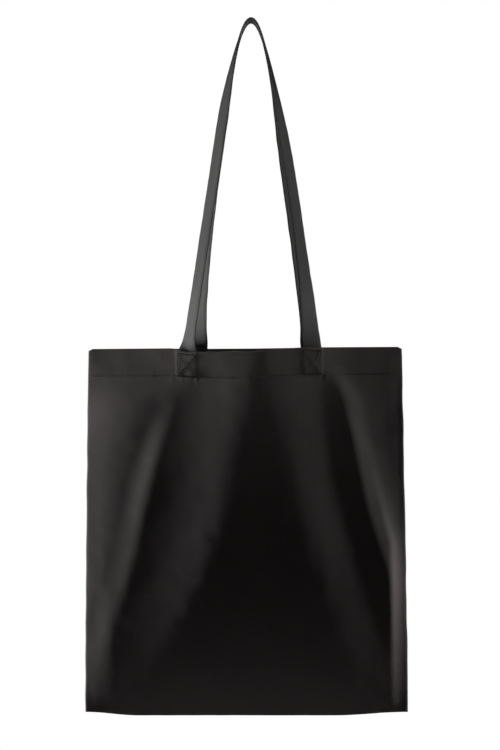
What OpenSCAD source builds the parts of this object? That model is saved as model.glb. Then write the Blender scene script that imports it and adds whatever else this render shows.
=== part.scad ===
// Canvas tote bag, hanging by its two long handles.
// Frame: +Z up, the front panel faces -Y, and the origin is the hanging point, where a hook
// or peg bears on the underside of the handles. All lengths are in millimetres.

/* [Bag] */
// Width of the bag laid flat, seam to seam
bag_w = 370; // [320:5:420]
// Height from the bottom seam to the top of the hem
bag_h = 420; // [360:5:460]
// How far each panel stands out from its seams at the open mouth
mouth = 30; // [24:1:34]
// How the bag closes from the mouth to the bottom seam, where 1 is a straight wedge
taper = 0.85; // [0.6:0.05:1]
// Sideways distance from the hanging point to the middle of the bag
bag_shift = -5; // [-10:1:10]
// Thickness of the canvas
cloth = 0.8; // [0.6:0.1:1.0]

/* [Hem and seams] */
// Depth of the hem turned in at the mouth
hem_depth = 32; // [28:1:38]
// Width of the overlocked seam allowances inside the bag
allowance = 8; // [6:1:10]
// Width of a row of stitching
stitch_w = 0.6; // [0.4:0.1:0.8]

/* [Handles] */
// Width of the handle strap
strap_w = 23; // [18:1:28]
// Thickness of the strap, which is four layers of thin canvas
strap_t = 2; // [1.6:0.1:2.4]
// Height of the hanging point above the hem
handle_rise = 378; // [300:1:400]
// Distance between the middles of a handle's two sewn ends
handle_spacing = 143; // [120:1:170]
// Sideways distance from the middle of the bag to the middle of the handle ends
handle_shift = 3; // [-6:1:6]
// How much nearer the middle the back handle's left end is sewn
back_left_inset = 11; // [0:1:14]
// Twist of the strap along the middle of each leg, in degrees
leg_twist = 60; // [30:1:65]
// Height above the hem over which that twist builds up
twist_run = 30; // [25:1:60]
// Height below the peg over which the strap turns edge-on
peg_run = 175; // [120:5:200]
// Height above the hem over which the two handles' legs come into line
aligning_run = 200; // [140:10:260]

/* [Hidden] */

FRONT = -1;
BACK = 1;
LEFT = -1;
RIGHT = 1;

hem_z = -handle_rise;
bottom_z = hem_z - bag_h;
layer_gap = 0.1;
seam_gap = 0.05;
hem_layers = 2 * cloth + layer_gap;
// The seam allowances lie between the panels, so at a seam the bag is four layers thick.
seam_half = cloth + layer_gap;
thread_proud = 0.25;
section_power = 4;      // how flat the panels are between the seams
seam_clearance = 0.2;   // between the side seams and the seam and hems that they end at

hem_row_rise = 1.4;     // from the hem's lower edge up to its row of stitches
row_gap = 1.2;          // from that row up to the box stitch
box_top_drop = 3;       // from the hem's top down to the box stitch
box_side_inset = 1.2;   // from the strap's edges to the box stitch
end_inset = 0.4;        // from the hem's lower edge up to the end of the strap inside it
end_rise = 0.6;         // from the hem's top up to where the sewn end gives way to the loop
swing_gap = 0.6;        // between the sewn end and the loop that swings
hem_row_z = hem_z - hem_depth + hem_row_rise;
box_bottom_z = hem_row_z + row_gap;
box_top_z = hem_z - box_top_drop;
box_w = strap_w - 2 * box_side_inset;
end_bottom_z = hem_z - hem_depth + end_inset;
end_top_z = hem_z + end_rise;
loop_drop = strap_t / 2 - end_top_z - swing_gap;
loop_gap = 0.3;         // from the middle plane to each strap where both cross the peg
arch_c = 259;           // sets how pointed the arch over the peg is
loop_flare = 1.4;       // how low the two handles part from each other below the peg
aligning_power = 1.6;   // how soon the legs come into line
levelling_run = 40;     // height above the hem over which the strap leans into the arch
curve_step = 0.002;     // step along the loop from which its direction is measured
edge_row_inset = 2.5;   // from the strap's stitched edge to its row of stitches

cloth_rows = 26;
cloth_columns = 32;
loop_steps = 72;

canvas_colour = [0.13, 0.125, 0.12];
strap_colour = [0.17, 0.168, 0.16];
thread_colour = [0.06, 0.058, 0.055];
overlock_colour = [0.09, 0.088, 0.085];

function clamp01(x) = min(1, max(0, x));
function smooth(x) = let (c = clamp01(x)) c * c * (3 - 2 * c);
function mix(a, b, s) = a + (b - a) * s;
function unit(v) = v / norm(v);

// ---- The bag's surface. v is the share of its height, from the bottom to the hem's top,
// and u runs across it from the left seam, -1, to the right one, 1.

function share_at(z) = (z - bottom_z) / bag_h;
function fullness(v) = mouth * pow(clamp01(v), taper);
function across(u) = 1 - pow(u, section_power);
// Cloth keeps its length, so the seams draw in as the bag fills out.
function half_width(v) =
    bag_w / 2 - pow(section_power * fullness(v), 2) / (bag_w * (2 * section_power - 1));
function depth(u, v) = cloth + seam_gap + seam_half + fullness(v) * across(u);
function depth_at(x, z) =
    let (v = share_at(z)) depth((x - bag_shift) / half_width(v), v);

// A point of the front or back panel: inset is how far inside its outer face it lies.
function on_panel(side, x, z, inset) = [x, side * (depth_at(x, z) - inset), z];
function panel_point(side, u, z, inset) =
    let (v = share_at(z))
    [bag_shift + u * half_width(v), side * (depth(u, v) - inset), z];

// The cloth's route up a panel, over the fold and down inside the hem, as [z, inset] pairs
// for its outer side, or its inner side where inner is true.
function cloth_route(inner) =
    let (fold_r = (cloth + layer_gap) / 2,
         top = hem_z - fold_r - cloth / 2,
         r = inner ? fold_r - cloth / 2 : fold_r + cloth / 2,
         near = inner ? cloth : 0,
         far = inner ? cloth + layer_gap : hem_layers)
    concat(
        [for (i = [0 : cloth_rows]) [mix(bottom_z, top, i / cloth_rows), near]],
        [for (a = [45 : 45 : 135])
            [top + r * sin(a), fold_r + cloth / 2 - r * cos(a)]],
        [for (i = [0 : 2]) [mix(top, hem_z - hem_depth, i / 2), far]]);

// ---- Solids between two matching grids of points

module slab(a, b) {
    rows = len(a);
    columns = len(a[0]);
    flat = concat([for (r = a) for (p = r) p], [for (r = b) for (p = r) p]);
    function at(side, r, c) = (side * rows + r) * columns + c;
    function quad(p, q, r, s) = [[p, q, r], [p, r, s]];
    faces = concat(
        [for (r = [0 : rows - 2]) for (c = [0 : columns - 2])
            each quad(at(0, r, c), at(0, r + 1, c), at(0, r + 1, c + 1), at(0, r, c + 1))],
        [for (r = [0 : rows - 2]) for (c = [0 : columns - 2])
            each quad(at(1, r, c), at(1, r, c + 1), at(1, r + 1, c + 1), at(1, r + 1, c))],
        [for (r = [0 : rows - 2]) each concat(
            quad(at(0, r, 0), at(1, r, 0), at(1, r + 1, 0), at(0, r + 1, 0)),
            quad(at(0, r, columns - 1), at(0, r + 1, columns - 1),
                 at(1, r + 1, columns - 1), at(1, r, columns - 1)))],
        [for (c = [0 : columns - 2]) each concat(
            quad(at(0, 0, c), at(0, 0, c + 1), at(1, 0, c + 1), at(1, 0, c)),
            quad(at(0, rows - 1, c), at(1, rows - 1, c),
                 at(1, rows - 1, c + 1), at(0, rows - 1, c + 1)))]);
    polyhedron(points = flat, faces = faces);
}

// A slab whose first grid is on the outer side, whichever panel it lies on.
module panel_slab(side, outer, inner) {
    if (side == FRONT) slab(outer, inner);
    else slab(inner, outer);
}

module panel(side) {
    function grid(inner) = [for (p = cloth_route(inner))
        [for (i = [0 : cloth_columns])
            panel_point(side, -1 + 2 * i / cloth_columns, p[0], p[1])]];
    color(canvas_colour) panel_slab(side, grid(false), grid(true));
}

// A row of stitching through every layer between two points [x, z] of a panel.
module stitch_row(side, from, to, layers, steps) {
    along = unit(to - from);
    half = stitch_w / 2 * [-along[1], along[0]];
    function edge(sign, inset) = [for (i = [0 : steps])
        let (p = mix(from, to, i / steps) + sign * half) on_panel(side, p[0], p[1], inset)];
    inner = layers + thread_proud;
    panel_slab(side, [edge(-1, -thread_proud), edge(1, -thread_proud)],
        [edge(-1, inner), edge(1, inner)]);
}

module hem_stitching(side) {
    reach = half_width(share_at(hem_row_z)) - 2;
    color(thread_colour) stitch_row(side, [bag_shift - reach, hem_row_z],
        [bag_shift + reach, hem_row_z], hem_layers, 48);
}

// ---- The overlocked seam allowances, turned to the inside of the bag

module side_seam(hand) {
    rows = 24;
    function edge(inset, y) = [for (i = [0 : rows])
        let (z = mix(bottom_z + allowance + seam_clearance,
                     hem_z - hem_depth - seam_clearance, i / rows))
        [bag_shift + hand * (half_width(share_at(z)) - inset), y, z]];
    outer = [edge(0, -seam_half), edge(0, seam_half)];
    inner = [edge(allowance, -seam_half), edge(allowance, seam_half)];
    color(overlock_colour) if (hand == LEFT) slab(outer, inner); else slab(inner, outer);
}

module bottom_seam() {
    color(overlock_colour)
        translate([bag_shift - bag_w / 2, -seam_half, bottom_z])
            cube([bag_w, 2 * seam_half, allowance]);
}

// ---- Handles

function end_x(side, hand) =
    bag_shift + handle_shift + hand * handle_spacing / 2
    + (side == BACK && hand == LEFT ? back_left_inset : 0);

module handle_end(side, hand) {
    middle = end_x(side, hand);
    near = hem_layers + seam_gap;
    function grid(inset) = [for (i = [0 : 4])
        let (z = mix(end_bottom_z, end_top_z, i / 4))
        [for (j = [0 : 4])
            let (x = middle + strap_w * (j / 4 - 0.5), flat = min(z, hem_z))
            [x, side * (depth_at(x, flat) - inset), z]]];
    color(strap_colour) panel_slab(side, grid(near), grid(near + strap_t));
}

module box_stitch(side, hand) {
    middle = end_x(side, hand);
    left = middle - box_w / 2;
    right = middle + box_w / 2;
    corners = [[left, box_bottom_z], [right, box_bottom_z], [right, box_top_z],
        [left, box_top_z]];
    layers = hem_layers + seam_gap + strap_t;
    color(thread_colour) {
        for (i = [0 : 3]) stitch_row(side, corners[i], corners[(i + 1) % 4], layers, 4);
        for (i = [0 : 1]) stitch_row(side, corners[i], corners[i + 2], layers, 4);
    }
}

// A handle's loop runs from q = -1 at its left end to q = 1 at its right end, over the peg
// at q = 0. Its height falls with the square of q, so the points crowd where it bends.
function loop_y(side, q) =
    let (base = depth_at(end_x(side, q < 0 ? LEFT : RIGHT), hem_z)
             - hem_layers - seam_gap - strap_t / 2,
         peg = loop_gap + strap_w / 2)
    side * mix(peg, base, smooth(pow(abs(q), loop_flare)));
function loop_x(side, q) =
    let (hand = q < 0 ? LEFT : RIGHT,
         above = loop_drop * (1 - q * q),
         offset = end_x(side, hand) - hand * handle_spacing / 2)
    handle_spacing / 2 * q * sqrt((loop_drop * q * q + 2 * arch_c) / (loop_drop + 2 * arch_c))
    + offset * pow(clamp01(1 - above / aligning_run), aligning_power);
function loop_point(side, q) =
    [loop_x(side, q), loop_y(side, q), strap_t / 2 - loop_drop * q * q];

// The strap's twist away from facing the front, in degrees: none where it leaves the hem,
// and edge-on where it lies over the peg.
function loop_twist(q) =
    let (above = loop_drop * (1 - q * q), below = loop_drop * q * q)
    leg_twist * sin(90 * clamp01(above / twist_run))
    + (90 - leg_twist) * (1 - smooth(below / peg_run));
// The strap's two directions at q: along its width, towards the stitched edge, and out
// through its thickness. Crossing +Y with the loop's direction points into the arch. Both
// handles turn their stitched edge to the front, so that the back one lies along the other.
function loop_frame(side, q) =
    let (tangent = unit(loop_point(side, q + curve_step) - loop_point(side, q - curve_step)),
         above = loop_drop * (1 - q * q),
         level = q < 0 ? [1, 0, 0] : [-1, 0, 0],
         inward = unit(mix(level, cross([0, 1, 0], tangent), smooth(above / levelling_run))),
         twist = loop_twist(q),
         wide = unit(inward * cos(twist) + [0, FRONT, 0] * sin(twist)))
    [wide, -side * unit(cross(tangent, wide))];

// A strip of the loop between two distances from its middle line.
module loop_slab(side, across_from, across_to, thickness) {
    function corner(q, w, h) = let (f = loop_frame(side, q))
        loop_point(side, q) + w * f[0] + h * f[1];
    function face(h) = [for (i = [-loop_steps / 2 : loop_steps / 2])
        let (q = 2 * i / loop_steps)
        [for (w = [across_from, across_to]) corner(q, w, h)]];
    panel_slab(-side, face(thickness / 2), face(-thickness / 2));
}

module handle_loop(side) {
    color(strap_colour) loop_slab(side, -strap_w / 2, strap_w / 2, strap_t);
}

module handle_edge_stitch(side) {
    row = strap_w / 2 - edge_row_inset;
    color(thread_colour) loop_slab(side, row - stitch_w / 2, row + stitch_w / 2,
        strap_t + 2 * thread_proud);
}

panel(FRONT);  // front_panel
panel(BACK);  // back_panel
hem_stitching(FRONT);  // front_hem_stitching
hem_stitching(BACK);  // back_hem_stitching
side_seam(LEFT);  // left_side_seam
side_seam(RIGHT);  // right_side_seam
bottom_seam();
handle_end(FRONT, LEFT);  // front_handle_left_end
handle_end(FRONT, RIGHT);  // front_handle_right_end
handle_end(BACK, LEFT);  // back_handle_left_end
handle_end(BACK, RIGHT);  // back_handle_right_end
box_stitch(FRONT, LEFT);  // front_left_box_stitch
box_stitch(FRONT, RIGHT);  // front_right_box_stitch
box_stitch(BACK, LEFT);  // back_left_box_stitch
box_stitch(BACK, RIGHT);  // back_right_box_stitch
handle_loop(FRONT);  // front_handle
handle_loop(BACK);  // back_handle
handle_edge_stitch(FRONT);  // front_handle_edge_stitch
handle_edge_stitch(BACK);  // back_handle_edge_stitch
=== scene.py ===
"""Looks of a black canvas tote bag that hangs by its two long handles.

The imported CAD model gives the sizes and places. This script replaces each of its plain solids
with shaped cloth, straps and single stitches. Lengths are in millimetres until a mesh is
made, and the frame is the model's: +Z up, the front panel faces -Y, and the origin is the
hanging point under the handles.
"""

import math

import bpy
import numpy as np
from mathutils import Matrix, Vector


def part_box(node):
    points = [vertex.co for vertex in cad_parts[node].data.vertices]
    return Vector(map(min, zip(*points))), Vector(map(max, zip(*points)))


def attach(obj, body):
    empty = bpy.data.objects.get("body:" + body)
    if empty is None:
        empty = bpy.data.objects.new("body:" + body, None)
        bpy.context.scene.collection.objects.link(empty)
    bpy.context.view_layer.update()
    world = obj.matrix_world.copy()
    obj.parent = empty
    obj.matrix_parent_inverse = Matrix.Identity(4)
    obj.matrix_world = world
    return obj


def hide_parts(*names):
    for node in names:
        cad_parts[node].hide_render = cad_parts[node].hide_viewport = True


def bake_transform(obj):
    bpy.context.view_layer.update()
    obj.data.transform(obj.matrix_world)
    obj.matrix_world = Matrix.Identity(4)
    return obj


MM = 0.001
FRONT, BACK = -1, 1
LEFT, RIGHT = -1, 1
SIDE_NAME = {FRONT: "front", BACK: "back"}
HAND_NAME = {LEFT: "left", RIGHT: "right"}

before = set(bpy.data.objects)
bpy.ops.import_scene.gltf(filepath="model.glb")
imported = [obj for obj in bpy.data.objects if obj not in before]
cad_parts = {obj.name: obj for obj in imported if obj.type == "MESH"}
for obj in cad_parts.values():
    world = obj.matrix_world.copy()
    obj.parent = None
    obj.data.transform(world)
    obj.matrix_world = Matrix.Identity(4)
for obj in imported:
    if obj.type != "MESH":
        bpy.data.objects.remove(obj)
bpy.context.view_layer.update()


def node_box(name):
    """The lowest and highest corner of a CAD node, in millimetres."""
    return [np.array(corner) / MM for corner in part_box(name)]


# ---- Sizes, from the CAD model where it has them

CLOTH = 0.8  # thickness of the canvas
LAYER_GAP = 0.1  # air between two layers of a fold
STITCH_W = 0.6  # width of a CAD row of stitching
THREAD_R, STITCH_SHARE = 0.34, 0.52  # radius of a stitch, and its length as a share of its pitch
FINE_THREAD_R = 0.2  # on the straps' edges and the overlocked seams
BOX_THREAD_R, BOX_STITCH_SHARE = 0.5, 0.42  # the boxes show as thick, short stitches
HEM_PITCH, BOX_PITCH, STRAP_PITCH = 3.0, 2.6, 3.1

panel_low, panel_high = node_box("front_panel")
BAG_X = (panel_low[0] + panel_high[0]) / 2
BAG_W = panel_high[0] - panel_low[0]
BOTTOM, TOP = panel_low[2], panel_high[2]
BAG_H = TOP - BOTTOM
EDGE_DEPTH = 1.5  # from the middle plane to the middle of the cloth beside a seam
MOUTH = -panel_low[1] - EDGE_DEPTH - CLOTH / 2 + 0.15
TAPER = 0.75  # how the bag closes towards the bottom seam

hem_row_low, hem_row_high = node_box("front_hem_stitching")
HEM_ROW = TOP - (hem_row_low[2] + hem_row_high[2]) / 2  # depth of the row below the hem's top
HEM_DEPTH = HEM_ROW + 1.4
ALLOWANCE = node_box("bottom_seam")[1][2] - BOTTOM

end_low, end_high = node_box("front_handle_left_end")
STRAP_W = end_high[0] - end_low[0]
STRAP_T = 2.0
END_DEPTH = TOP - end_low[2]  # how far the strap's end reaches down inside the hem
STRAP_INSET = CLOTH + LAYER_GAP + CLOTH / 2 + 0.05 + STRAP_T / 2  # cloth's middle to strap's


def smooth(t):
    t = np.clip(t, 0.0, 1.0)
    return t * t * (3 - 2 * t)


def mix(a, b, share):
    return a + (b - a) * share


def unit(vectors):
    return vectors / np.linalg.norm(vectors, axis=-1, keepdims=True)


def ripples(x, z, seed, shortest, longest, count=12):
    """Seeded waves of many lengths and directions, mostly between -1 and 1."""
    rng = np.random.default_rng(seed)
    total = np.zeros(np.broadcast(x, z).shape)
    for _ in range(count):
        length = shortest * (longest / shortest) ** rng.random()
        angle, phase = rng.uniform(0, math.pi), rng.uniform(0, 2 * math.pi)
        along = x * math.cos(angle) + z * math.sin(angle)
        total += np.sin(2 * math.pi * along / length + phase)
    return total / math.sqrt(count)


# ---- The bag's surface: the middle of each panel's outer layer


class Fold:
    """A soft step in a panel, along a curve that runs down from beside a handle's end.

    start and end are (distance from the bag's middle, depth below the hem's top). share is
    how much of the panel's whole rise the step holds, and inner and outer how far it reaches
    towards the middle and towards the seam, all as (at the hem, low down). growth is the
    two depths between which the step builds up.
    """

    def __init__(self, start, end, bend, share, growth, inner, outer):
        self.start, self.end, self.bend = start, end, bend
        self.share, self.growth, self.inner, self.outer = share, growth, inner, outer

    def place(self, depth):
        run = np.clip((depth - self.start[1]) / (self.end[1] - self.start[1]), 0, 2)
        wander = 1.6 * np.sin(depth / 33 + self.start[0]) * smooth(depth / 60)
        return mix(self.start[0], self.end[0], run**self.bend) + wander

    def step(self, depth, place):
        """How much of the step lies outside a place: 0 at its outer end and 1 at its inner."""
        high = np.exp(-np.maximum(depth, 0) / 60)
        inner, outer = (mix(low, top, high) for top, low in (self.inner, self.outer))
        off = self.place(depth) - place
        run = np.clip(np.where(off > 0, off / inner, off / outer), -1, 1)
        width = np.where(off > 0, inner, outer)
        return (outer + width * (run + np.sin(math.pi * run) / math.pi)) / (inner + outer)

    def grown(self, depth, reach):
        """The share of the rise at a depth; it dies away where the fold runs into a seam."""
        first, last = self.growth
        room = reach - self.place(depth) - 4
        share = mix(*self.share, smooth(depth / 300))
        return share * smooth((depth - first) / (last - first)) * smooth(room / 22)


# On each side, the outer, sharp fold comes first and the inner, broad one second.
FOLDS = {
    (FRONT, LEFT): (
        Fold((79, 30), (164, 334), 0.9, (0.20, 0.21), (30, 140), (10, 17), (14, 22)),
        Fold((30, 30), (104, 334), 2.0, (0.34, 0.42), (-60, -20), (75, 46), (110, 78)),
    ),
    (FRONT, RIGHT): (
        Fold((106, 20), (180, 310), 0.95, (0.17, 0.17), (5, 90), (10, 12), (20, 18)),
        Fold((75, 30), (146, 334), 1.3, (0.29, 0.42), (-60, -20), (95, 68), (44, 25)),
    ),
    (BACK, LEFT): (
        Fold((84, 30), (164, 310), 0.8, (0.26, 0.22), (24, 140), (11, 16), (20, 24)),
        Fold((44, 40), (112, 330), 1.3, (0.27, 0.42), (-60, -20), (80, 56), (60, 50)),
    ),
    (BACK, RIGHT): (
        Fold((92, 30), (162, 340), 1.0, (0.25, 0.22), (30, 150), (11, 14), (22, 22)),
        Fold((40, 50), (104, 330), 1.6, (0.25, 0.42), (-60, -20), (80, 50), (60, 60)),
    ),
}
# The cloth between the outer fold and the seam: how far it bows out, or in where below 0,
# and the least width it keeps
BESIDE_SEAM = {
    (FRONT, LEFT): (0.8, 30),
    (FRONT, RIGHT): (-0.6, 17),
    (BACK, LEFT): (0.5, 20),
    (BACK, RIGHT): (0.8, 26),
}
CROWN = {FRONT: (15, 2.5), BACK: (-8, 2.5)}  # where the mouth bows out most, and how much
SAG = {FRONT: 4.4, BACK: 0.4}  # how far the hem droops between the handles
TILT = 2.5  # how much higher the hem's right end hangs than its left
CORNER_RISE = 4  # how far the bottom corners are drawn up
SEAM_DIP = 1.8  # how far the hem's ends dip at the seams
LEAN = -2.0  # how far the hanging bag's top shifts to the left
FORWARD = {LEFT: 0.0, RIGHT: 8.0}  # how far the hem pulls the top of each seam forward
SEED = {FRONT: 11, BACK: 29}


def share_up(z):
    return np.clip((z - BOTTOM) / BAG_H, 0, 1.2)


def fullness(z):
    return MOUTH * np.maximum(share_up(z), 0) ** TAPER


def reach(z):
    """Distance from the bag's middle to its seams: cloth keeps its length as the bag fills out."""
    return BAG_W / 2 - (4 * fullness(z)) ** 2 / (7 * BAG_W)


def middle_x(z):
    return BAG_X + LEAN * smooth(share_up(z))


def seam_forward(hand, z):
    return FORWARD[hand] * smooth(share_up(z) / 0.55 - 0.6)


def seam_x(hand, z):
    wobble = ripples(z * 0, z, 50 + hand, 24, 90, 8)
    ends = smooth((z - BOTTOM) / 20) * smooth((TOP - z) / 12)
    return middle_x(z) + hand * (reach(z) + 0.28 * wobble * ends)


PATCHES = {
    (side, hand): node_box(f"{SIDE_NAME[side]}_{HAND_NAME[hand]}_box_stitch")
    for side in (FRONT, BACK)
    for hand in (LEFT, RIGHT)
}


def patch_rectangle(side, hand):
    """Left, bottom, right and top of the box of stitches that holds a handle's end."""
    low, high = PATCHES[side, hand]
    inset = STITCH_W / 2
    return low[0] + inset, low[2] + inset, high[0] - inset, high[2] - inset


def patch_lines(side, hand):
    """The six straight rows of a box stitch, as pairs of (x, z)."""
    left, bottom, right, top = patch_rectangle(side, hand)
    corners = [(left, bottom), (right, bottom), (right, top), (left, top)]
    sides = [(corners[i], corners[(i + 1) % 4]) for i in range(4)]
    return sides + [(corners[0], corners[2]), (corners[1], corners[3])]


def distance_to(line, x, z):
    (x0, z0), (x1, z1) = line
    dx, dz = x1 - x0, z1 - z0
    t = np.clip(((x - x0) * dx + (z - z0) * dz) / (dx * dx + dz * dz), 0, 1)
    return np.hypot(x - x0 - t * dx, z - z0 - t * dz)


PATCH_LIFT, PATCH_EDGE = 0.34, 3.6  # how high the strap behind lifts the cloth, and how softly
ROW_GROOVE, ROW_WIDTH = 0.07, 0.9  # how deep and how wide the rows pull it in
PATCH_MARGIN, PATCH_MARGIN_BELOW = 12, 14  # how far round a patch this is worked out


def quilting(side, x, z):
    """The sewn ends of the handles: the strap behind lifts the cloth, and the rows pull it in."""
    lift = np.zeros(np.broadcast(x, z).shape)
    for hand in (LEFT, RIGHT):
        left, bottom, right, _ = patch_rectangle(side, hand)
        near = (x > left - PATCH_MARGIN) & (x < right + PATCH_MARGIN)
        near = near & (z > bottom - PATCH_MARGIN_BELOW)
        outside = np.hypot(
            np.maximum(np.maximum(left - x, x - right), 0),
            np.maximum(bottom - z, 0),
        )
        lift += np.where(near, PATCH_LIFT * (1 - smooth(outside / PATCH_EDGE)), 0)
        rows = np.min([distance_to(row, x, z) for row in patch_lines(side, hand)], axis=0)
        lift -= np.where(near, ROW_GROOVE * np.exp(-((rows / ROW_WIDTH) ** 2)), 0)
    return lift


HEM_LEDGE, HEM_PUCKER, HEM_ROLL = 0.16, 0.09, 0.25  # heights of the hem's ledge and ripples


def hem_relief(side, x, depth):
    """The hem's extra layers end in a low ledge, and the row of stitching puckers the cloth."""
    off = depth - HEM_ROW
    ledge = -HEM_LEDGE * smooth(off / 5)
    pucker = ripples(x, depth * 0, SEED[side] + 1, 5, 11, 9)
    pucker *= HEM_PUCKER * np.exp(-((off / 5.5) ** 2))
    roll = HEM_ROLL * ripples(x, depth * 0.4, SEED[side] + 2, 28, 90, 8)
    return ledge + pucker + roll * (1 - smooth((depth - 8) / 26))


EASE = 0.12  # how softly the cloth beside a seam meets the flatter middle
SOFT, FINE, LOW = 0.4, 0.06, 0.5  # heights of the long ripples, the fine ones and the seam's


def relief(side, x, z):
    """How far a panel stands out from the plane through its seams, without its rounded edges."""
    depth = TOP - z
    full, edge = fullness(z), reach(z)
    from_middle = x - middle_x(z)
    rise = -np.ones(np.broadcast(x, z).shape)
    shift = 0.0
    for hand in (LEFT, RIGHT):
        place = hand * from_middle
        outer = FOLDS[side, hand][0]
        left_over = 1.0
        for fold in FOLDS[side, hand]:
            share = fold.grown(depth, edge)
            rise = rise + share * fold.step(depth, place)
            left_over = left_over - share
        inner_end = outer.place(depth) + 8 - 32 * (1 - smooth((depth - 5) / 70))
        bowed, least = BESIDE_SEAM[side, hand]
        run = np.clip((edge - place) / np.maximum(edge - inner_end, least), 0, 2)
        eased = 1 - (1 + EASE - run) ** 2 / (4 * EASE)
        run = np.where(run > 1 + EASE, 1, np.where(run < 1 - EASE, run, eased))
        bowed = bowed * mix(0.1, 1, smooth(depth / 80))
        climb = run + bowed * run * (1 - run)
        rise = rise + left_over * climb
        shift = shift + seam_forward(hand, z) * (1 - climb)
    crown_x, crown = CROWN[side]
    bow = crown * np.exp(-(((from_middle - crown_x) / 42) ** 2))
    bow = bow * (1 - smooth(depth / 130))
    calm = smooth((edge - np.abs(from_middle)) / 14)
    soft = SOFT * ripples(x, z * 0.5, SEED[side] + 3, 110, 240, 12)
    fine = FINE * ripples(x, z, SEED[side] + 4, 16, 46, 16)
    low = LOW * ripples(x, z * 0.2, SEED[side] + 5, 14, 40, 8) * np.exp(-(z - BOTTOM) / 9)
    return full * rise - side * shift + (bow + soft * smooth(depth / 30) + fine + low) * calm + (
        quilting(side, x, z) + hem_relief(side, x, depth)
    ) * smooth((edge - np.abs(from_middle)) / 5)


def lifted(side, x, z):
    """z with the hem's tilt and sag and the bottom seam's raised corners."""
    across = x - middle_x(z)
    from_edge = reach(z) - np.abs(across)
    high = smooth((share_up(z) - 0.5) / 0.5)
    tilt = TILT / 2 * (1 + across / (BAG_W / 2)) * high
    droop = SAG[side] * smooth((across + 86) / 22) * smooth((72 - across) / 70)
    droop = droop * np.exp(-np.maximum(TOP - z, 0) / 50)
    corner = SEAM_DIP * (1 - smooth(from_edge / 4.5)) * np.exp(-np.maximum(TOP - z, 0) / 5)
    ends = CORNER_RISE * (smooth((-across - 125) / 60) + smooth((across - 100) / 85))
    return z + tilt - droop - corner + ends * (1 - high) ** 2 * (1 - share_up(z))


def cloth_point(side, x, z, closing=1.0):
    """A point in the middle of a panel's outer layer; closing is 0 at a seam and 1 inside."""
    depth = mix(RIM_Y, EDGE_DEPTH, closing) + relief(side, x, z)
    return np.stack(np.broadcast_arrays(x, side * depth, lifted(side, x, z)), axis=-1)


def cloth_frame(side, x, z):
    """Points of a panel with the directions out of it, across it and up it."""
    step = 0.4
    across = cloth_point(side, x + step, z) - cloth_point(side, x - step, z)
    up = cloth_point(side, x, z + step) - cloth_point(side, x, z - step)
    out = unit(np.cross(across, up)) * -side
    return cloth_point(side, x, z), out, unit(across), unit(up)


# ---- Meshes


def make_object(name, points, faces, uvs, material):
    """A smooth-shaded mesh object; uvs holds one (u, v) in millimetres for each point."""
    mesh = bpy.data.meshes.new(name)
    mesh.from_pydata((np.asarray(points) * MM).tolist(), [], [list(f) for f in faces])
    mesh.materials.append(material)
    mesh.polygons.foreach_set("use_smooth", np.ones(len(mesh.polygons), bool))
    corner_points = np.empty(len(mesh.loops), np.int32)
    mesh.loops.foreach_get("vertex_index", corner_points)
    layer = mesh.uv_layers.new(name="cloth")
    layer.data.foreach_set("uv", (np.asarray(uvs)[corner_points] * MM).ravel())
    mesh.validate()
    obj = bpy.data.objects.new(name, mesh)
    bpy.context.scene.collection.objects.link(obj)
    return obj


def grid_quads(rows, columns, first=0, flip=False):
    r, c = np.meshgrid(np.arange(rows - 1), np.arange(columns - 1), indexing="ij")
    a = (first + r * columns + c).ravel()
    quads = np.stack([a, a + 1, a + columns + 1, a + columns], axis=1)
    return quads[:, ::-1] if flip else quads


def shell(name, middle, out, half, uv, material, flip):
    """A closed sheet of thickness 2 * half around a grid of points."""
    rows, columns = middle.shape[:2]
    count = rows * columns
    points = np.concatenate([(middle + out * half).reshape(-1, 3),
                             (middle - out * half).reshape(-1, 3)])
    index = np.arange(count).reshape(rows, columns)
    border = np.concatenate([index[0, :-1], index[:-1, -1], index[-1, :0:-1], index[:0:-1, 0]])
    after = np.roll(border, -1)
    rim = np.stack([border, border + count, after + count, after], axis=1)
    if flip:
        rim = rim[:, ::-1]
    faces = np.concatenate([
        grid_quads(rows, columns, 0, flip), grid_quads(rows, columns, count, not flip), rim,
    ])
    both = np.concatenate([uv.reshape(-1, 2)] * 2)
    return make_object(name, points, faces, both, material)


def sweep(name, rings, uv, material):
    """A closed tube through rings of points, capped at both ends."""
    rows, columns = rings.shape[:2]
    r, c = np.meshgrid(np.arange(rows - 1), np.arange(columns), indexing="ij")
    a, b = (r * columns + c).ravel(), (r * columns + (c + 1) % columns).ravel()
    quads = np.stack([a, b, b + columns, a + columns], axis=1)
    caps = [list(range(columns))[::-1], list(range((rows - 1) * columns, rows * columns))]
    return make_object(name, rings.reshape(-1, 3), quads.tolist() + caps,
                       uv.reshape(-1, 2), material)


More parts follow.
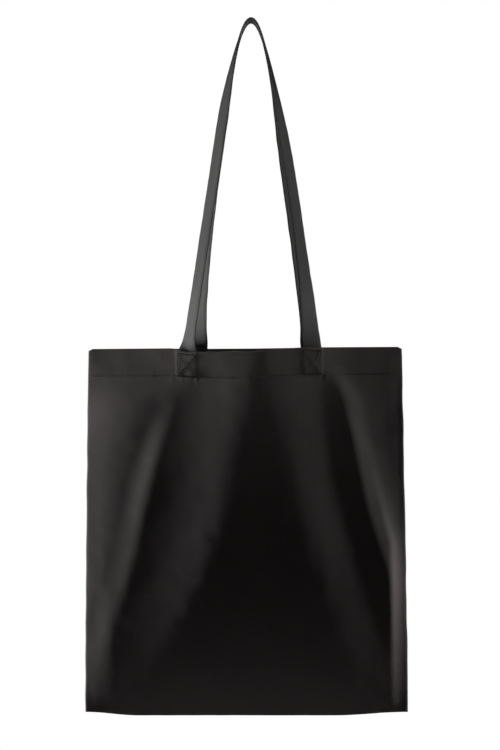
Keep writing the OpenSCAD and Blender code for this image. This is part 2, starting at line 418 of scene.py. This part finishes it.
def stitches(name, spots, material, radius=THREAD_R):
    """Single stitches: each spot is (middle, direction, outward, length)."""
    sides, rings = 7, (-1.0, -0.86, -0.5, 0.0, 0.5, 0.86, 1.0)
    middles, along, out, lengths = (np.array(part, float) for part in zip(*spots))
    along, out = unit(along), unit(out)
    across = np.cross(along, out)
    points, angle = [], np.arange(sides) * 2 * math.pi / sides
    for place in rings:
        taper = math.sqrt(max(0.04, 1 - abs(place) ** 3))
        rise = radius * (1.15 - 1.9 * place**4)
        centre = middles + along * (lengths / 2 * place)[:, None] + out * rise
        for a in angle:
            points.append(centre + (across * math.cos(a) + out * math.sin(a)) * radius * taper)
    points = np.stack(points, axis=1)
    count = points.shape[1]
    quads = [
        (i * sides + j, i * sides + (j + 1) % sides,
         (i + 1) * sides + (j + 1) % sides, (i + 1) * sides + j)
        for i in range(len(rings) - 1) for j in range(sides)
    ]
    caps = [tuple(range(sides))[::-1], tuple(range(count - sides, count))]
    faces = [[k * count + i for i in f] for k in range(len(points)) for f in quads + caps]
    ring_uv = [(place * 1.4, j * 0.3) for place in rings for j in range(sides)]
    uv = np.array([(u + 3.1 * k, v) for k in range(len(points)) for u, v in ring_uv])
    return make_object(name, points.reshape(-1, 3), faces, uv, material)


# ---- Materials


class Nodes:
    """Short forms for building one material's node tree."""

    def __init__(self, name):
        self.material = bpy.data.materials.new(name)
        self.material.use_nodes = True
        self.tree = self.material.node_tree
        self.shader = self.tree.nodes["Principled BSDF"]

    def add(self, kind, settings=None, **inputs):
        node = self.tree.nodes.new(kind)
        for key, value in (settings or {}).items():
            setattr(node, key, value)
        for key, value in inputs.items():
            self.feed(node.inputs[key.replace("_", " ")], value)
        return node

    def feed(self, socket, value):
        if isinstance(value, bpy.types.NodeSocket):
            self.tree.links.new(value, socket)
        else:
            socket.default_value = value

    def math(self, operation, *values):
        node = self.add("ShaderNodeMath", {"operation": operation})
        for socket, value in zip(node.inputs, values):
            self.feed(socket, value)
        return node.outputs[0]

    def blend(self, share, first, second):
        """second where share is 1, first where it is 0; all plain numbers."""
        return self.math("ADD", self.math("MULTIPLY", first, self.math("SUBTRACT", 1.0, share)),
                         self.math("MULTIPLY", second, share))

    def noise(self, vector, scale, detail=2.0, roughness=0.5):
        node = self.add("ShaderNodeTexNoise", Vector=vector, Scale=scale, Detail=detail,
                        Roughness=roughness)
        return node.outputs["Fac"]

    def stretched(self, vector, scale):
        node = self.add("ShaderNodeMapping", Vector=vector, Scale=scale)
        return node.outputs["Vector"]

    def ramp(self, share, *stops):
        node = self.add("ShaderNodeValToRGB")
        elements = node.color_ramp.elements
        while len(elements) < len(stops):
            elements.new(0.5)
        for element, (position, colour) in zip(elements, stops):
            element.position, element.color = position, (*colour, 1.0)
        self.feed(node.inputs["Fac"], share)
        return node.outputs["Color"]

    def bump(self, height, strength, distance, normal=None):
        node = self.add("ShaderNodeBump", Height=height, Strength=strength, Distance=distance)
        if normal is not None:
            self.feed(node.inputs["Normal"], normal)
        return node.outputs["Normal"]


def woven(name, pitch, dark, light, sheen, weave_bump):
    """Plain-woven cotton: crossing yarns at the real pitch, uneven yarns, lint and sheen."""
    n = Nodes(name)
    uv = n.add("ShaderNodeUVMap", {"uv_map": "cloth"}).outputs["UV"]
    parts = n.add("ShaderNodeSeparateXYZ", Vector=uv)
    turns = math.pi / (pitch * MM)
    warp = n.math("COSINE", n.math("MULTIPLY", parts.outputs["X"], turns))
    weft = n.math("COSINE", n.math("MULTIPLY", parts.outputs["Y"], turns))
    warp_over = n.math("GREATER_THAN", n.math("MULTIPLY", warp, weft), 0.0)
    warp, weft = n.math("ABSOLUTE", warp), n.math("ABSOLUTE", weft)
    height = n.blend(
        warp_over,
        n.math("MULTIPLY", weft, n.math("POWER", warp, 0.35)),
        n.math("MULTIPLY", warp, n.math("POWER", weft, 0.35)),
    )
    warp_yarns = n.noise(n.stretched(uv, (900.0, 28.0, 1.0)), 1.0, 2.0)
    weft_yarns = n.noise(n.stretched(uv, (28.0, 900.0, 1.0)), 1.0, 2.0)
    yarns = n.blend(warp_over, weft_yarns, warp_yarns)
    cloudy = n.noise(uv, 18.0, 4.0, 0.6)
    lint = n.math("POWER", n.noise(n.stretched(uv, (520.0, 380.0, 1.0)), 1.0, 3.0, 0.7), 7.0)
    tone = n.math("ADD", n.math("MULTIPLY", yarns, 0.55), n.math("MULTIPLY", cloudy, 0.25))
    # Lighter where the weave stands high and darker where it lies low: painted shade between the
    # yarns, besides the bump.
    tone = n.math("ADD", tone, n.math("MULTIPLY", height, 0.22))
    tone = n.math("ADD", tone, n.math("MULTIPLY", lint, 1.1))
    n.feed(n.shader.inputs["Base Color"], n.ramp(tone, (0.2, dark), (0.85, light)))
    rough = n.math("ADD", 0.74, n.math("MULTIPLY", yarns, 0.22))
    n.feed(n.shader.inputs["Roughness"], rough)
    n.shader.inputs["Specular IOR Level"].default_value = 0.3
    n.shader.inputs["Sheen Weight"].default_value = sheen
    n.shader.inputs["Sheen Roughness"].default_value = 0.42
    n.shader.inputs["Sheen Tint"].default_value = (1.0, 0.90, 0.87, 1.0)
    rough_yarn = n.bump(yarns, 0.5, 0.00012)
    n.feed(n.shader.inputs["Normal"], n.bump(height, weave_bump, 0.00014, rough_yarn))
    return n.material


def twisted(name, dark, light, twist, sheen=0.0, gloss=0.2):
    """Sewing thread: two plies laid round each other, a little fuzzy."""
    n = Nodes(name)
    uv = n.add("ShaderNodeUVMap", {"uv_map": "cloth"}).outputs["UV"]
    parts = n.add("ShaderNodeSeparateXYZ", Vector=uv)
    lay = n.math("ADD", n.math("MULTIPLY", parts.outputs["X"], twist),
                 n.math("MULTIPLY", parts.outputs["Y"], twist * 1.7))
    ply = n.math("ABSOLUTE", n.math("SINE", lay))
    fuzz = n.noise(uv, 2600.0, 3.0, 0.6)
    # Lighter on each ply's crest and darker in the groove between plies: painted shade, besides
    # the bump.
    tone = n.math("ADD", n.math("MULTIPLY", ply, 0.6), n.math("MULTIPLY", fuzz, 0.4))
    n.feed(n.shader.inputs["Base Color"], n.ramp(tone, (0.15, dark), (0.9, light)))
    n.feed(n.shader.inputs["Roughness"], n.math("ADD", 0.5, n.math("MULTIPLY", fuzz, 0.25)))
    n.shader.inputs["Specular IOR Level"].default_value = gloss
    n.shader.inputs["Sheen Weight"].default_value = sheen
    n.feed(n.shader.inputs["Normal"], n.bump(ply, 0.7, 0.00008))
    return n.material


CANVAS = woven("black_canvas", 0.72, (0.0085, 0.0070, 0.0067), (0.0340, 0.0276, 0.0264),
               0.2, 0.28)
STRAPPING = woven("strap_canvas", 0.66, (0.0036, 0.0035, 0.0034), (0.0125, 0.0122, 0.0119),
                  0.1, 0.3)
# Box-stitch thread, darker than the cloth: partly the thread's own black, partly painted shade of
# the needle holes round each stitch.
BOX_THREAD_AND_SHADE = twisted("box_thread_and_painted_shade", (0.002, 0.0019, 0.0018), (0.007, 0.0068, 0.0066), 5200.0,
                 gloss=0.04)
STRAP_THREAD = twisted("strap_thread", (0.004, 0.0039, 0.0038), (0.015, 0.0147, 0.0144), 5200.0,
                       0.1)
OVERLOCK = twisted("overlock_thread", (0.006, 0.0058, 0.0056), (0.030, 0.029, 0.028), 3600.0)


# ---- Panels


TUCK = math.radians(50)  # how far a seam's rounded edge turns in to meet the other panel
EDGE_R = EDGE_DEPTH  # radius of that edge
RIM_Y = CLOTH / 2 * math.sin(TUCK) + 0.02
EDGE_STEPS = 7


def rounded_edge():
    """For the seam's rounded edge, how far in each point lies and its closing, from 0 to 1."""
    step = (math.pi / 2 + TUCK) / EDGE_STEPS
    angles = -TUCK + step * np.arange(-1, EDGE_STEPS)
    closing = (np.sin(angles) + math.sin(TUCK)) / (1 + math.sin(TUCK))
    return EDGE_R * (1 - np.cos(angles)), closing


def ladder(stops, steps):
    """Numbers from the first stop to the last, with about steps[i] between stops i and i + 1."""
    pieces = [
        np.linspace(a, b, max(2, round((b - a) / step) + 1))[:-1]
        for a, b, step in zip(stops, stops[1:], steps)
    ]
    return np.concatenate([*pieces, [stops[-1]]])


def panel_columns(side):
    """Across a panel: the distance in from the nearer seam, which seam, and its closing."""
    inset, closing = rounded_edge()
    half = reach(TOP)
    stops = [-half + EDGE_R]
    for hand in (LEFT, RIGHT):
        left, _, right, _ = patch_rectangle(side, hand)
        stops += [left - middle_x(TOP) - 6, right - middle_x(TOP) + 6]
    stops.append(half - EDGE_R)
    inner = ladder(stops, [2.7, 0.72, 2.7, 0.72, 2.7])
    share = (inner + half) / (2 * half)
    return inset, closing, share


def make_panel(side):
    inset, closing, share = panel_columns(side)
    top_step = 0.9
    heights = ladder([BOTTOM + EDGE_R, TOP - HEM_DEPTH - 4, TOP, TOP + top_step],
                     [2.9, 0.86, top_step])
    z = np.concatenate([BOTTOM + inset, heights])[:, None]
    closing_z = np.concatenate([closing, np.ones(len(heights))])[:, None]
    left, right = seam_x(LEFT, z), seam_x(RIGHT, z)
    x = np.concatenate([left + inset, mix(left, right, share), right - inset[::-1]], axis=1)
    closing_x = np.concatenate([closing, np.ones(len(share)), closing[::-1]])[None, :]
    middle = cloth_point(side, x, z + 0 * x, closing_z * closing_x)
    across, up = np.gradient(middle, axis=1), np.gradient(middle, axis=0)
    out = unit(np.cross(across, up)) * -side
    middle, out, up = middle[1:-1, 1:-1], out[1:-1, 1:-1], unit(up[1:-1, 1:-1])
    x, z = x[1:-1, 1:-1], z[1:-1] + 0 * x[1:-1, 1:-1]

    # over the fold at the top and down inside the hem
    fold_r = (CLOTH + LAYER_GAP) / 2
    parts, outs, along = [middle], [out], [z - BOTTOM]
    for angle in np.radians([30, 60, 90, 120, 150]):
        s, c = math.sin(angle), math.cos(angle)
        parts.append((middle[-1] + up[-1] * fold_r * s - out[-1] * fold_r * (1 - c))[None])
        outs.append((out[-1] * c + up[-1] * s)[None])
        along.append((z[-1] - BOTTOM + fold_r * angle)[None])
    inside = [r for r in range(len(z) - 1, 0, -2) if z[r, 0] > TOP - HEM_DEPTH]
    parts.append(middle[inside] - out[inside] * 2 * fold_r)
    outs.append(-out[inside])
    along.append(2 * TOP - z[inside] - BOTTOM + fold_r * math.pi)
    middle, out, v = (np.concatenate(part) for part in (parts, outs, along))
    u = np.concatenate([x, np.repeat(x[-1:], 5, axis=0), x[inside]])
    uv = np.stack([u, v], axis=-1)
    name = SIDE_NAME[side]
    panel = shell(f"{name}_canvas", middle, out, CLOTH / 2, uv, CANVAS, side == BACK)
    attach(panel, "bag")
    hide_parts(f"{name}_panel")
    return panel


# ---- Seams inside the bag


def overlock(name, edge_a, edge_b, out):
    """Loops of thread that wrap the raw edge of a seam allowance."""
    spots = []
    for side in (FRONT, BACK):
        for a, b in zip(edge_a, edge_b):
            middle = (a + b) / 2 + out * side * 0.87
            spots.append((middle, b - a, out * side, np.linalg.norm(b - a)))
    return stitches(name, spots, OVERLOCK, FINE_THREAD_R)


def seam_strip(name, outer_edge, inner_edge):
    """The two allowances that lie together between the panels, and the thread on their edge."""
    rows = len(outer_edge)
    share = np.linspace(0, 1, 6)[None, :, None]
    middle = outer_edge[:, None] + (inner_edge - outer_edge)[:, None] * share
    run = np.arange(rows)[:, None] + 0 * share[..., 0]
    middle[..., 1] += 0.12 * ripples(run * 3.0, share[..., 0] * 4, 77, 18, 50, 6)
    along, across = np.gradient(middle, axis=0), np.gradient(middle, axis=1)
    out = unit(np.cross(along, across))
    uv = np.stack([share[..., 0] * ALLOWANCE + 0 * run, run * 3.0], axis=-1)
    strip = shell(f"{name}_allowance", middle, out, CLOTH + 0.04, uv, CANVAS, False)
    direction = unit(inner_edge[0] - outer_edge[0])
    steps = np.arange(0, rows - 1, 0.8)
    places = np.stack(
        [np.interp(steps, np.arange(rows), inner_edge[:, i]) for i in range(3)], axis=1)
    step_along = unit(inner_edge[-1] - inner_edge[0])
    loops = overlock(f"{name}_overlock", places + direction * 0.3,
                     places - direction * 4.2 + step_along * 1.2, np.array([0.0, 1.0, 0.0]))
    for piece, slot in ((strip, "canvas"), (loops, "overlock_thread")):
        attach(piece, "bag")
        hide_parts(name)
    return [strip, loops]


def make_seams():
    made = []
    start = 1.3  # the sewn line lies just inside the rounded edge
    z = ladder([BOTTOM + ALLOWANCE + 1, TOP - HEM_DEPTH - 0.5], [3.0])
    for hand in (LEFT, RIGHT):
        x = seam_x(hand, z)
        level = lifted(FRONT, x, z)
        edges = [np.stack([x - hand * inset, -seam_forward(hand, z), level], axis=1)
                 for inset in (start, start + ALLOWANCE)]
        made += seam_strip(f"{HAND_NAME[hand]}_side_seam", *edges)
    x = ladder([seam_x(LEFT, BOTTOM) + start, seam_x(RIGHT, BOTTOM) - start], [3.0])
    level = lifted(FRONT, x, BOTTOM + 0 * x)
    edges = [np.stack([x, 0 * x, level + rise], axis=1)
             for rise in (start, start + ALLOWANCE - 0.5)]
    return made + seam_strip("bottom_seam", *edges)


# ---- Handles: one strap each, from the sewn end inside the hem, over the peg and back

END_RISE, SWING_GAP = 0.6, 0.6  # the CAD model's split between sewn end and loop
LOOP_DROP = STRAP_T / 2 - (TOP + END_RISE) - SWING_GAP
LOOP_GAP = 0.3  # from the middle plane to each strap over the peg
ARCH_C = 259  # sets how pointed the arch is
LOOP_FLARE = 1.4  # how low the two handles part from each other
LEG_TWIST, PEG_RUN = 60, {LEFT: 125, RIGHT: 160}
LEVELLING_RUN, ALIGNING_RUN = 40, 200
TWIST_START = {  # height above the hem over which most of the twist builds up
    (FRONT, LEFT): 7, (FRONT, RIGHT): 50, (BACK, LEFT): 20, (BACK, RIGHT): 18,
}
BOW = {  # how far each leg bows to the right
    (FRONT, LEFT): 1.4, (FRONT, RIGHT): 1.5, (BACK, LEFT): 1.4, (BACK, RIGHT): -2.6,
}
BOW_RUN = 70  # height above the hem over which the bow, and the fit to the sewn end, build up
EDGE_ROW = STRAP_W / 2 - 2.5  # the row of stitches, from the strap's middle line
STRAP_STEP = 1.3


def end_x(side, hand):
    left, _, right, _ = patch_rectangle(side, hand)
    return (left + right) / 2


SPAN = (end_x(FRONT, RIGHT) - end_x(FRONT, LEFT)) / 2


def loop_middle(side, q):
    """The strap's middle line over the peg, for q from -1 at its left end to 1 at its right."""
    above, below = LOOP_DROP * (1 - q * q), LOOP_DROP * q * q
    hand = np.where(q < 0, LEFT, RIGHT)
    own = np.where(q < 0, end_x(side, LEFT), end_x(side, RIGHT))
    x = SPAN * q * np.sqrt((below + 2 * ARCH_C) / (LOOP_DROP + 2 * ARCH_C))
    x += (own - hand * SPAN) * np.clip(1 - above / ALIGNING_RUN, 0, 1) ** 1.6
    bow = np.where(q < 0, BOW[side, LEFT], BOW[side, RIGHT])
    x += bow * smooth(above / BOW_RUN) * smooth((below - 50) / 150)
    low_y = EDGE_DEPTH + MOUTH - STRAP_INSET
    y = side * mix(LOOP_GAP + STRAP_W / 2, low_y, smooth(np.abs(q) ** LOOP_FLARE))
    return np.stack([x, y, STRAP_T / 2 - below], axis=1)


def strap_frames(side):
    """Middle line, direction to the stitched edge, direction out, and length so far."""
    tabs = {}
    for hand in (LEFT, RIGHT):
        z = ladder([TOP - END_DEPTH, TOP], [STRAP_STEP])
        x = np.full(len(z), end_x(side, hand))
        point, out, across, _ = cloth_frame(side, x, z)
        smoothed = unit(out[[0, -1]].mean(axis=0) + 0 * out)
        across = unit(across.mean(axis=0) + 0 * across)
        middle = point - out * STRAP_INSET
        middle[:, 1] = np.polyval(np.polyfit(z, middle[:, 1], 2), z)
        tabs[hand] = middle, across * -hand, smoothed
    low = 1 - np.linspace(0, 1, 700)
    q = np.concatenate([-low, low[::-1][1:]])
    loop = loop_middle(side, q)
    lengths = np.concatenate([[0], np.cumsum(np.linalg.norm(np.diff(loop, axis=0), axis=1))])
    q = np.interp(np.linspace(0, lengths[-1], round(lengths[-1] / STRAP_STEP)), lengths, q)
    loop = loop_middle(side, q)
    tangent = unit(loop_middle(side, q + 0.002) - loop_middle(side, q - 0.002))
    above, below = LOOP_DROP * (1 - q * q), LOOP_DROP * q * q
    level = np.where(q < 0, 1.0, -1.0)[:, None] * np.array([1.0, 0, 0])
    lean = smooth(above / LEVELLING_RUN)[:, None]
    inward = unit(mix(level, np.cross([0.0, 1, 0], tangent), lean))
    start_run = np.where(q < 0, TWIST_START[side, LEFT], TWIST_START[side, RIGHT])
    peg_run = np.where(q < 0, PEG_RUN[LEFT], PEG_RUN[RIGHT])
    turn = 1 - np.exp(-above / start_run)
    start = {hand: math.degrees(math.asin(FRONT * tabs[hand][1][-1][1])) for hand in tabs}
    base = np.where(q < 0, start[LEFT], start[RIGHT])
    twist = mix(base, LEG_TWIST, turn) + (90 - LEG_TWIST) * (1 - smooth(below / peg_run))
    twist = np.radians(twist)[:, None]
    wide = unit(inward * np.cos(twist) + np.array([0.0, FRONT, 0]) * np.sin(twist))
    out = side * unit(np.cross(tangent, wide))
    for hand in (LEFT, RIGHT):
        mine = (q < 0) if hand == LEFT else (q >= 0)
        tab_end = tabs[hand][0][-1] + np.array([0, 0, END_RISE + SWING_GAP])
        loop_end = loop[0] if hand == LEFT else loop[-1]
        loop[mine] += (tab_end - loop_end) * (1 - smooth(above[mine] / BOW_RUN))[:, None]
    left, right = tabs[LEFT], tabs[RIGHT]
    middle = np.concatenate([left[0], loop, right[0][::-1]])
    wide = np.concatenate([left[1], wide, right[1][::-1]])
    out = np.concatenate([left[2], out, right[2][::-1]])
    for _ in range(3):  # ease the joint between the sewn end and the free strap
        for part in (wide, out, middle):
            part[1:-1] = (part[:-2] + 2 * part[1:-1] + part[2:]) / 4
    out = unit(out)
    wide = unit(wide - out * (wide * out).sum(axis=1, keepdims=True))
    steps = np.linalg.norm(np.diff(middle, axis=0), axis=1)
    return middle, wide, out, np.concatenate([[0], np.cumsum(steps)])


def strap_section():
    """Half the strap's outline as (towards the stitched edge, out), as shares of its half sizes.

    The stitched edge shows the slit between the two folded edges; the other is one fold.
    """
    row = EDGE_ROW / (STRAP_W / 2)
    return [(0.995, 0.0), (1.0, 0.12), (0.985, 0.36), (0.955, 0.56), (0.91, 0.72),
            (row + 0.075, 0.86), (row, 0.84), (row - 0.075, 0.93), (row - 0.2, 1.0),
            (0.2, 1.0), (-0.25, 1.01), (-0.7, 0.98), (-0.9, 0.78), (-0.975, 0.44),
            (-1.0, 0.0)]


def make_handle(side):
    middle, wide, out, length = strap_frames(side)
    half = strap_section()
    outline = half + [(w, -h) for w, h in half[-2:0:-1]]
    w = np.array([p[0] for p in outline]) * STRAP_W / 2
    h = np.array([p[1] for p in outline]) * STRAP_T / 2
    seed = SEED[side] + 7
    edge = 0.22 * ripples(length, 0 * length, seed, 14, 60, 8)[:, None] * (w / (STRAP_W / 2))
    cup = 0.35 * (1 - (w / (STRAP_W / 2)) ** 2)
    cup = cup * ripples(length, 0 * length, seed + 1, 60, 160, 5)[:, None]
    puff = 1 + 0.05 * ripples(length, 0 * length, seed + 2, 5, 12, 8)[:, None]
    loose = smooth((length - END_DEPTH) / 25) * smooth((length[-1] - END_DEPTH - length) / 25)
    edge, cup = edge * loose[:, None], cup * loose[:, None]
    rings = (middle[:, None] + wide[:, None] * (w + edge)[..., None]
             + out[:, None] * (h * puff + cup)[..., None])
    around = np.concatenate([[0], np.cumsum(np.hypot(np.diff(w), np.diff(h)))])
    uv = np.stack(np.broadcast_arrays(around[None, :], length[:, None]), axis=-1)
    name = SIDE_NAME[side]
    strap = sweep(f"{name}_strap", rings if side == FRONT else rings[:, ::-1], uv, STRAPPING)
    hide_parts(f"{name}_handle", f"{name}_handle_left_end",
                f"{name}_handle_right_end")

    spots = []
    places = np.arange(2.0, length[-1] - 2.0, STRAP_PITCH)
    at = [np.stack([np.interp(places, length, part[:, i]) for i in range(3)], axis=1)
          for part in (middle, wide, out)]
    # the row of stitches is the outline's seventh point
    edge_at, cup_at = (np.interp(places, length, part[:, 6]) for part in (edge, cup))
    for k in range(1, len(places) - 1):
        direction = at[0][k + 1] - at[0][k - 1] + (at[1][k + 1] - at[1][k - 1]) * EDGE_ROW
        row = at[0][k] + at[1][k] * (EDGE_ROW + edge_at[k]) + at[2][k] * cup_at[k]
        for face in (1, -1):
            facing = at[2][k] * face
            sunk = row + facing * STRAP_T / 2 * 0.76
            spots.append((sunk, direction, facing, STRAP_PITCH * 0.84))
    sewn = stitches(f"{name}_strap_stitches", spots, STRAP_THREAD, FINE_THREAD_R)
    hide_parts(f"{name}_handle_edge_stitch")

    for piece in (strap, sewn):
        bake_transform(piece)


# ---- Rows of stitching on the panels


def row_of_stitches(side, start, end, pitch, inner, share_sewn=STITCH_SHARE):
    """Stitches along a straight row, on the outside and on the innermost layer."""
    count = max(2, round(math.hypot(end[0] - start[0], end[1] - start[1]) / pitch))
    share = (np.arange(count) + 0.5) / count
    x, z = mix(start[0], end[0], share), mix(start[1], end[1], share)
    point, out, across, up = cloth_frame(side, x, z)
    direction = across * (end[0] - start[0]) + up * (end[1] - start[1])
    spots = []
    for i in range(count):
        outside = point[i] + out[i] * CLOTH / 2
        spots.append((outside, direction[i], out[i], pitch * share_sewn))
        spots.append((point[i] - out[i] * inner, direction[i], -out[i], pitch * share_sewn))
    return spots


def sew(name, node, spots, material, radius=THREAD_R):
    piece = stitches(name, spots, material, radius)
    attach(piece, "bag")
    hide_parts(node)
    return piece


def make_stitching(side):
    name = SIDE_NAME[side]
    z = TOP - HEM_ROW
    start, end = (seam_x(LEFT, z) + 2.5, z), (seam_x(RIGHT, z) - 2.5, z)
    hem = row_of_stitches(side, start, end, HEM_PITCH, 2 * CLOTH + LAYER_GAP - CLOTH / 2)
    made = [sew(f"{name}_hem_stitches", f"{name}_hem_stitching", hem, STRAP_THREAD)]
    for hand in (LEFT, RIGHT):
        spots = []
        for start, end in patch_lines(side, hand):
            spots += row_of_stitches(side, start, end, BOX_PITCH, STRAP_INSET + STRAP_T / 2 - 0.1,
                                     BOX_STITCH_SHARE)
        patch = f"{name}_{HAND_NAME[hand]}"
        # The box stitches use the dark thread, which carries painted shade of the needle holes as
        # well as its own black.
        made.append(
            sew(f"{patch}_patch_stitches", f"{patch}_box_stitch", spots, BOX_THREAD_AND_SHADE, BOX_THREAD_R))
    return made


# ---- Camera, floor and light

AMBIENT = 0.036  # strength of the world's light on everything but the camera
LEFT_POWER, RIGHT_POWER, FRONT_POWER = 11.0, 4.4, 0.2
HEM_POWER, LOW_POWER, ARCH_POWER = 0.085, 0.066, 0.3  # the small lights close to the bag
FLOOR_R, FLOOR_DROP, FLOOR_GLOW = 1.5, 0.6, 0.72  # in metres, but for the glow


def look_at(obj, place, target):
    obj.location = place
    obj.rotation_euler = (Vector(target) - Vector(place)).to_track_quat("-Z", "Y").to_euler()


def make_camera():
    distance, picture_height, sensor = 3.0, 0.8625, 36.0
    aside, above_middle = -0.0012, 0.181  # where the camera aims, from the bag's middle
    data = bpy.data.cameras.new("camera")
    data.sensor_width = sensor
    data.lens = sensor * distance / picture_height
    camera = bpy.data.objects.new("camera", data)
    bpy.context.scene.collection.objects.link(camera)
    level = (TOP + BOTTOM) / 2 * MM + above_middle
    look_at(camera, (aside, -distance, level), (aside, 0, level))
    bpy.context.scene.camera = camera


def make_light(name, place, target, size, spread, power):
    data = bpy.data.lights.new(name, "AREA")
    data.shape = "RECTANGLE"
    data.size, data.size_y = size
    data.energy = power
    data.spread = math.radians(spread)
    light = bpy.data.objects.new(name, data)
    bpy.context.scene.collection.objects.link(light)
    look_at(light, place, target)
    light.visible_camera = False


def make_room():
    world = bpy.data.worlds.new("world")
    bpy.context.scene.world = world
    world.use_nodes = True
    tree = world.node_tree
    background = tree.nodes["Background"]
    # the world is white to the camera only: it lights the bag with no more than AMBIENT
    path = tree.nodes.new("ShaderNodeLightPath")
    level = tree.nodes.new("ShaderNodeMath")
    level.operation = "MULTIPLY_ADD"
    level.inputs[1].default_value = 1 - AMBIENT
    level.inputs[2].default_value = AMBIENT
    tree.links.new(path.outputs["Is Camera Ray"], level.inputs[0])
    tree.links.new(level.outputs[0], background.inputs["Strength"])
    background.inputs["Color"].default_value = (1, 1, 1, 1)
    bpy.context.scene.view_settings.view_transform = "Standard"

    centre = (BAG_X * MM, 0, (TOP + BOTTOM) / 2 * MM)
    top, bottom = TOP * MM, BOTTOM * MM
    make_light("left_light", (-1.7, 0.08, centre[2] - 0.05), (centre[0], 0, centre[2] - 0.05),
               (0.1, 0.8), 44, LEFT_POWER)
    make_light("right_light", (1.7, 0.08, centre[2] - 0.1), (centre[0], 0, centre[2] - 0.1),
               (0.1, 0.7), 36, RIGHT_POWER)
    make_light("hem_light", (centre[0], -0.11, top + 0.12), (centre[0], -0.03, top - 0.04),
               (0.3, 0.03), 84, HEM_POWER)
    make_light("low_light", (centre[0], -0.10, bottom - 0.09), (centre[0], 0, bottom + 0.03),
               (0.4, 0.03), 100, LOW_POWER)
    make_light("arch_light", (0, -0.35, -0.37), (0, 0, -0.02), (0.06, 0.06), 56, ARCH_POWER)
    make_light("front_light", (0, -2.6, centre[2] + 0.9), centre, (1.6, 1.2), 66, FRONT_POWER)

    floor_mesh = bpy.data.meshes.new("floor")
    angles = np.arange(96) * 2 * math.pi / 96
    floor_z = BOTTOM * MM - FLOOR_DROP
    floor_mesh.from_pydata(
        [(FLOOR_R * math.cos(a), FLOOR_R * math.sin(a), floor_z) for a in angles], [],
        [list(range(96))])
    floor = bpy.data.objects.new("floor", floor_mesh)
    bpy.context.scene.collection.objects.link(floor)
    n = Nodes("pale_floor")
    grain = n.noise(n.add("ShaderNodeTexCoord").outputs["Object"], 3.0, 5.0)
    n.feed(n.shader.inputs["Base Color"],
           n.ramp(grain, (0.2, (0.60, 0.60, 0.59)), (0.8, (0.66, 0.66, 0.65))))
    n.shader.inputs["Roughness"].default_value = 0.8
    # the side lights leave the floor dark, so it has a glow of its own, which stays off the bag
    n.shader.inputs["Emission Color"].default_value = (1.0, 1.0, 0.99, 1.0)
    n.shader.inputs["Emission Strength"].default_value = FLOOR_GLOW
    floor_mesh.materials.append(n.material)
    floor.visible_diffuse = False
    floor.visible_glossy = False


make_camera()
make_room()
panels = {side: make_panel(side) for side in (FRONT, BACK)}
seams = make_seams()
hems = {side: make_stitching(side) for side in (FRONT, BACK)}
for side in (FRONT, BACK):
    make_handle(side)
